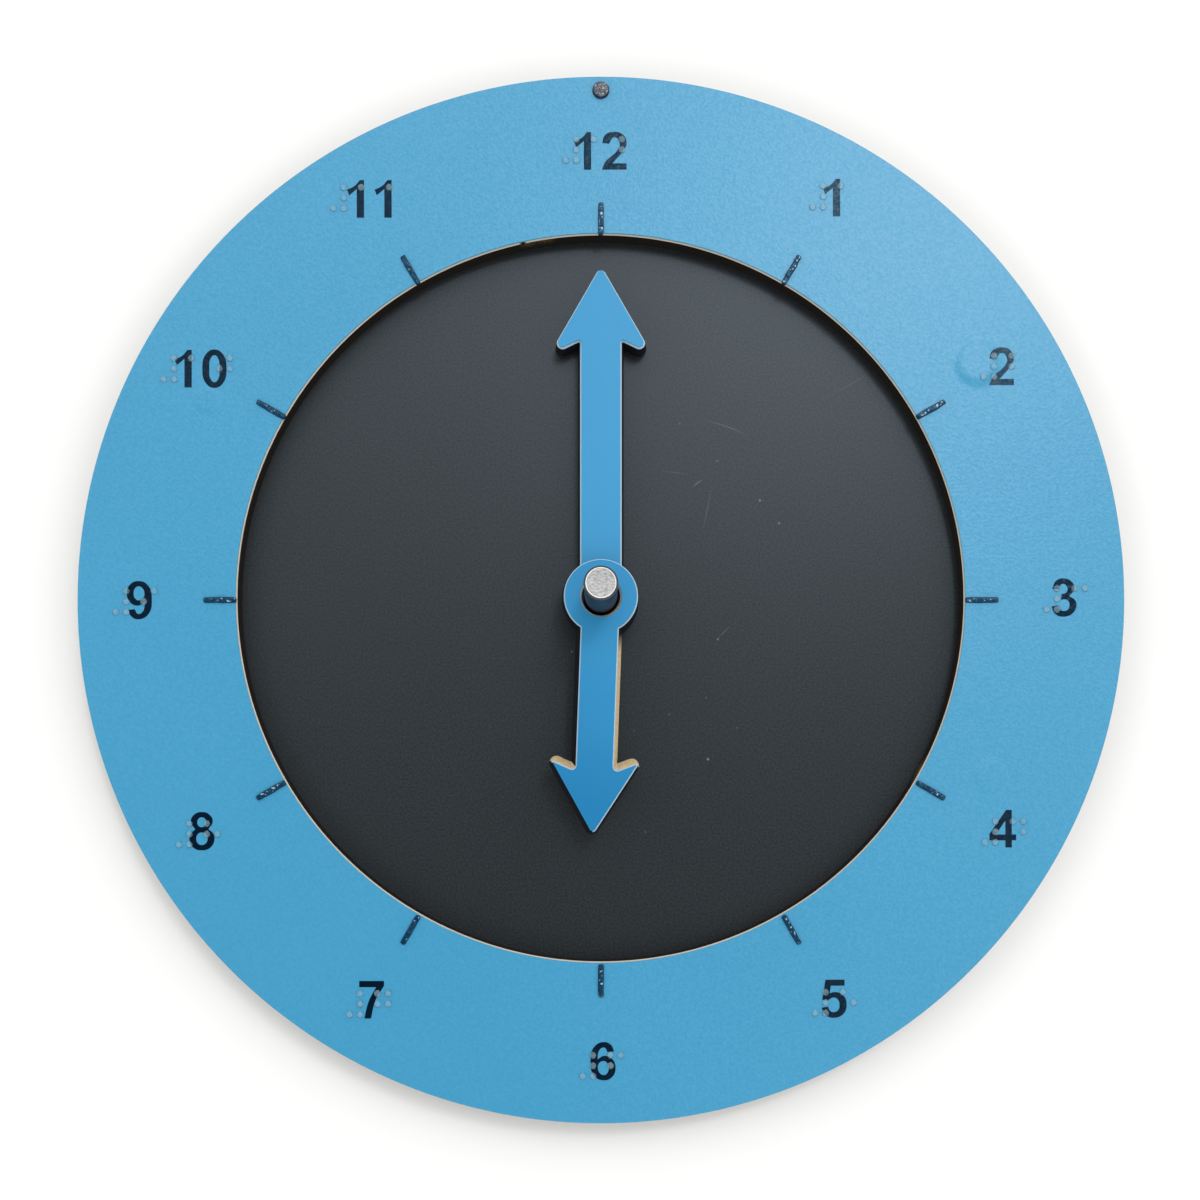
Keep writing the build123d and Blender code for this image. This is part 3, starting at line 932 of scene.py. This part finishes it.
def modelMark(hour, dice):
    low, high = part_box("hour_mark_12")  # the bar at twelve lies along Y, and the others are turned from it
    start = radiiOf("dial_face")[0]
    length = high.y - start
    depth = high.z - low.z + mark["sink"] + mark["over"]
    foot = low.z - mark["sink"]
    bpy.ops.object.select_all(action="DESELECT")
    bpy.ops.mesh.primitive_cube_add(size=1, location=(0, start + length / 2, foot + depth / 2))
    bar = bpy.context.object
    bar.scale = (high.x - low.x, length, depth)
    placeInMesh(bar)
    isFar = [point.co.y > start + length / 2 for point in bar.data.vertices]
    editPicked(bar, "edges", lambda edge: isFar[edge.vertices[0]] != isFar[edge.vertices[1]])
    bpy.ops.mesh.subdivide(number_cuts=mark["steps"] - 1)
    leaveEdit()
    bulgeStart, bulgeLength = mark["bulge"]
    for step in range(mark["steps"] + 1):
        along = step / mark["steps"]
        y = start + along * length
        swell = math.sin(math.pi * (bulgeStart + bulgeLength * along))
        taper = mark["endShare"] + (1 - mark["endShare"]) * swell
        width = taper * (1 + dice.uniform(-1, 1) * mark["widthSpread"])
        rise = 1 - dice.uniform(0, 1) * mark["heightSpread"]
        editPicked(bar, "vertices", lambda point: abs(point.co.y - y) < length / mark["steps"] / 3)
        bpy.ops.transform.resize(value=(width, 1, rise), center_override=(0, y, foot))
        bpy.ops.transform.translate(value=(dice.uniform(-1, 1) * mark["sway"], 0, 0))
        leaveEdit()
    pickOnly(bar)
    rounding = bar.modifiers.new("rounding", "BEVEL")
    rounding.width = mark["rounding"]
    rounding.segments = mark["roundSteps"]
    rounding.limit_method = "ANGLE"
    rounding.angle_limit = math.radians(mark["roundFrom"])
    bpy.ops.object.modifier_apply(modifier="rounding")
    flow = bar.modifiers.new("flow", "SUBSURF")
    flow.levels = 1
    bpy.ops.object.modifier_apply(modifier="flow")
    editAll(bar)
    bpy.ops.mesh.bisect(plane_co=(0, 0, low.z), plane_no=(0, 0, 1), clear_inner=True, use_fill=True)
    leaveEdit()
    bar.data.transform(Matrix.Rotation(-hourTurn * hour, 4, "Z"))
    smoothBelow(bar, mark["smooth"])
    settle(bar, f"hourBar{hour}", markResin, "dial", f"hour_mark_{hour}")


dice = random.Random(mark["seed"])
for hour in hours:
    modelMark(hour, dice)
print("top dot and hour marks modelled")

# Numerals: upright bold figures, printed on the film. Outlines and gap are in hundredths of the figure's
# height, and a third value of 1 makes a point round.
numeral = {
    "height": 8.25 * mm, "radius": 101.6 * mm, "twelveRadius": 98.4 * mm, "shiftX": 0.1 * mm,
    "gap": 28.5, "thickness": 0.03 * mm, "steps": 8,
}
figures = {
    "0": [
        [
            (32, 101, 1), (9, 88, 1), (0, 50, 1), (9, 11.5, 1), (32, -1.5, 1), (55, 11.5, 1), (64, 50, 1),
            (55, 88, 1),
        ],
        [
            (32, 86, 1), (22, 77, 1), (18.5, 50, 1), (22, 22, 1), (32, 13.5, 1), (42, 22, 1), (45.5, 50, 1),
            (42, 77, 1),
        ],
    ],
    "1": [
        [(25.7, 0), (45, 0), (45, 100), (34, 100), (20, 84.5, 1), (0, 74.5), (5.5, 59.5), (25.7, 76.5)],
    ],
    "2": [
        [
            (1, 71), (9, 92, 1), (33, 100.5, 1), (57.5, 92, 1), (66, 71.5, 1), (58, 52, 1), (28, 16.5),
            (66, 16.5), (66, 0), (0, 0), (9, 20, 1), (43, 53.5, 1), (48, 71, 1), (33.5, 86, 1), (19, 69),
        ],
    ],
    "3": [
        [
            (2, 73), (12, 94, 1), (32, 100.5, 1), (53, 92, 1), (61, 74, 1), (47, 53), (62, 43, 1),
            (66.5, 29, 1), (56, 7.5, 1), (33, -1.5, 1), (9, 6.5, 1), (0, 26), (18, 28.5), (22, 18, 1),
            (33, 13.5, 1), (44, 18, 1), (48, 29.5, 1), (44, 41, 1), (34, 45, 1), (25, 43), (27, 58.5),
            (38.5, 62.5, 1), (43, 73, 1), (32, 86, 1), (23, 82, 1), (19.5, 71),
        ],
    ],
    "4": [
        [
            (42.5, 0), (59.5, 0), (59.5, 19), (71, 19), (71, 34.5), (59.5, 34.5), (59.5, 100), (44.5, 100),
            (0, 36), (0, 19), (42.5, 19),
        ],
        [(42.5, 34.5), (42.5, 72), (17, 34.5)],
    ],
    "5": [
        [
            (11, 100), (61.5, 100), (61.5, 84), (25, 84), (22, 63.5), (36, 67, 1), (58, 58, 1), (67, 34, 1),
            (58, 8.5, 1), (33, -1.5, 1), (10, 6.5, 1), (0, 25.5), (18, 28), (22.5, 17.5, 1), (33, 13.5, 1),
            (43.5, 18, 1), (48, 33, 1), (43.5, 47.5, 1), (32, 52.5, 1), (16.5, 44.5), (2, 46.5),
        ],
    ],
    "6": [
        [
            (63, 75.5), (54.5, 93, 1), (36, 100.5, 1), (10, 88, 1), (0, 48, 1), (10, 10, 1), (35, -1.5, 1),
            (58, 8, 1), (66.5, 32, 1), (58, 55, 1), (37.5, 64, 1), (18.5, 54.5), (23.5, 79, 1),
            (36.5, 86, 1), (45.5, 73.5),
        ],
        [
            (34, 50, 1), (23.5, 45, 1), (19.5, 33, 1), (24, 18.5, 1), (35, 12.5, 1), (44.5, 17.5, 1),
            (48.5, 31, 1), (44.5, 45, 1),
        ],
    ],
    "7": [
        [
            (0, 100), (66, 100), (66, 87), (43, 48, 1), (31, 0), (13.5, 0), (24.5, 44, 1), (45, 83.5),
            (0, 83.5),
        ],
    ],
    "8": [
        [
            (33, 100.5, 1), (54, 93, 1), (62, 75, 1), (50.5, 54.5), (62.5, 44, 1), (66.5, 28.5, 1),
            (57, 7, 1), (33, -1.5, 1), (9.5, 6.5, 1), (0, 28, 1), (4, 43, 1), (15.5, 54.5), (4, 75, 1),
            (12, 93, 1),
        ],
        [
            (33, 86.5, 1), (24.5, 83, 1), (21, 73.5, 1), (24.5, 63.5, 1), (33, 60, 1), (41.5, 63.5, 1),
            (45, 73.5, 1), (41.5, 83, 1),
        ],
        [
            (33, 46.5, 1), (22, 41.5, 1), (18, 29.5, 1), (22, 17.5, 1), (33, 12.5, 1), (44, 17.5, 1),
            (48.5, 29.5, 1), (44, 41.5, 1),
        ],
    ],
}
sixSize = (66.5, 99)  # a nine is a six, turned over within this
figures["9"] = [
    [(sixSize[0] - x, sixSize[1] - y, *smooth) for x, y, *smooth in outline] for outline in figures["6"]
]


def drawFigure(digit):
    curve = bpy.data.curves.new("figure", "CURVE")
    curve.dimensions = "2D"
    curve.fill_mode = "BOTH"
    curve.resolution_u = numeral["steps"]
    curve.extrude = numeral["thickness"] / 2
    unit = numeral["height"] / 100
    for outline in figures[digit]:
        spline = curve.splines.new("BEZIER")
        spline.bezier_points.add(len(outline) - 1)
        spline.use_cyclic_u = True
        for point, (x, y, *smooth) in zip(spline.bezier_points, outline):
            point.co = (x * unit, y * unit, 0)
            point.handle_left_type = point.handle_right_type = "AUTO" if smooth else "VECTOR"
    figure = bpy.data.objects.new("figure", curve)
    bpy.context.scene.collection.objects.link(figure)
    pickOnly(figure)
    bpy.ops.object.convert(target="MESH")
    return bpy.context.view_layer.objects.active


def printNumeral(hour):
    gap = numeral["gap"] * numeral["height"] / 100
    group = []
    reach = 0.0
    for digit in str(hour):
        figure = drawFigure(digit)
        width = max(point.co.x for point in figure.data.vertices)
        figure.data.transform(Matrix.Translation((reach, 0, 0)))
        reach += width + gap
        group.append(figure)
    wide = reach - gap
    printed = joinAs(f"numeral{hour}", group)
    centre = clockPoint(hour, numeral["twelveRadius"] if hour == 12 else numeral["radius"])
    lift = filmTop + numeral["thickness"] / 2
    corner = centre + Vector((numeral["shiftX"] - wide / 2, -numeral["height"] / 2, lift))
    printed.data.transform(printMove @ Matrix.Translation(corner))
    dress(printed, ink)
    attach(printed, "dial")


for hour in hours:
    printNumeral(hour)
print("numerals printed")

# Floor: a plain pale sheet under the clock
floor = {
    "size": 4.0, "drop": 0.05 * mm, "colour": "#F9F9F7", "mottle": "#F8F8F6", "mottleSize": 50 * mm,
    "roughness": 0.9, "sheen": 0.1,
}


def layFloor():
    bpy.ops.object.select_all(action="DESELECT")
    bpy.ops.mesh.primitive_plane_add(size=floor["size"], location=(0, 0, -floor["drop"]))
    ground = bpy.context.object
    ground.name = "floor"
    material, tree, place = startMaterial("paleFloor")
    mottle = addNode(tree, "TexNoise", {"Vector": place, "Scale": 1 / floor["mottleSize"]})
    colour = addNode(
        tree, "Mix", {0: mottle, 6: linear(floor["colour"]), 7: linear(floor["mottle"])}, data_type="RGBA"
    )
    finishMaterial(tree, addNode(
        tree, "BsdfPrincipled",
        {"Base Color": colour, "Roughness": floor["roughness"], "Specular IOR Level": floor["sheen"]},
    ))
    dress(ground, material)


layFloor()

# Light: a soft panel with a bare lamp in it, high on the right of twelve, weaker panels on the left and low
# on the right, and a pale room that is brighter round the walls than overhead
panels = {
    "keyPanel": {"place": (0.50, 0.82, 1.6), "size": 0.9, "power": 7.2},
    "keyLamp": {"place": (0.50, 0.82, 1.6), "size": 0.25, "power": 3.5},
    "fillPanel": {"place": (-0.40, 0.85, 1.6), "size": 1.1, "power": 2.6},
    "sidePanel": {"place": (0.75, -0.5, 1.6), "size": 1.1, "power": 2.8},
}
room = {"strength": (1.75, 0.06), "rise": (0.66, 0.82)}  # of the walls and overhead, and where it changes


def hangLights():
    for name, panel in panels.items():
        bpy.ops.object.light_add(type="AREA", location=panel["place"])
        lamp = bpy.context.object
        lamp.name = name
        lamp.data.size = panel["size"]
        lamp.data.energy = panel["power"]
        lamp.rotation_euler = (-Vector(panel["place"])).to_track_quat("-Z", "Y").to_euler()
    world = bpy.data.worlds.new("paleRoom")
    bpy.context.scene.world = world
    world.use_nodes = True
    tree = world.node_tree
    tree.nodes.clear()
    direction = addNode(tree, "TexCoord").outputs["Generated"]
    rise = addNode(tree, "SeparateXYZ", {0: direction}).outputs["Z"]
    strength = addNode(tree, "MapRange", {"Value": rise, **ranges(room["rise"], room["strength"])})
    sky = addNode(tree, "Background", {"Strength": strength})
    addNode(tree, "OutputWorld", {"Surface": sky})


hangLights()

# Camera: straight over the dial, a little towards six, so the post and the hands lean up in the picture
camera = {
    "foot": (0, -40 * mm), "aim": (-0.2 * mm, 0), "distance": 250 * mm, "frameWidth": 263.7 * mm,
    "sensor": 36.0, "clipStart": 10 * mm,
}


def setCamera():
    x, y = camera["foot"]
    bpy.ops.object.camera_add(location=(x, y, filmTop + camera["distance"]))
    view = bpy.context.object
    view.name = "overheadCamera"
    view.data.sensor_width = camera["sensor"]
    view.data.lens = camera["sensor"] * camera["distance"] / camera["frameWidth"]
    view.data.shift_x = (camera["aim"][0] - x) / camera["frameWidth"]
    view.data.shift_y = (camera["aim"][1] - y) / camera["frameWidth"]
    view.data.clip_start = camera["clipStart"]
    bpy.context.scene.camera = view
    bpy.context.scene.view_settings.view_transform = "Standard"


setCamera()
print("stage set")
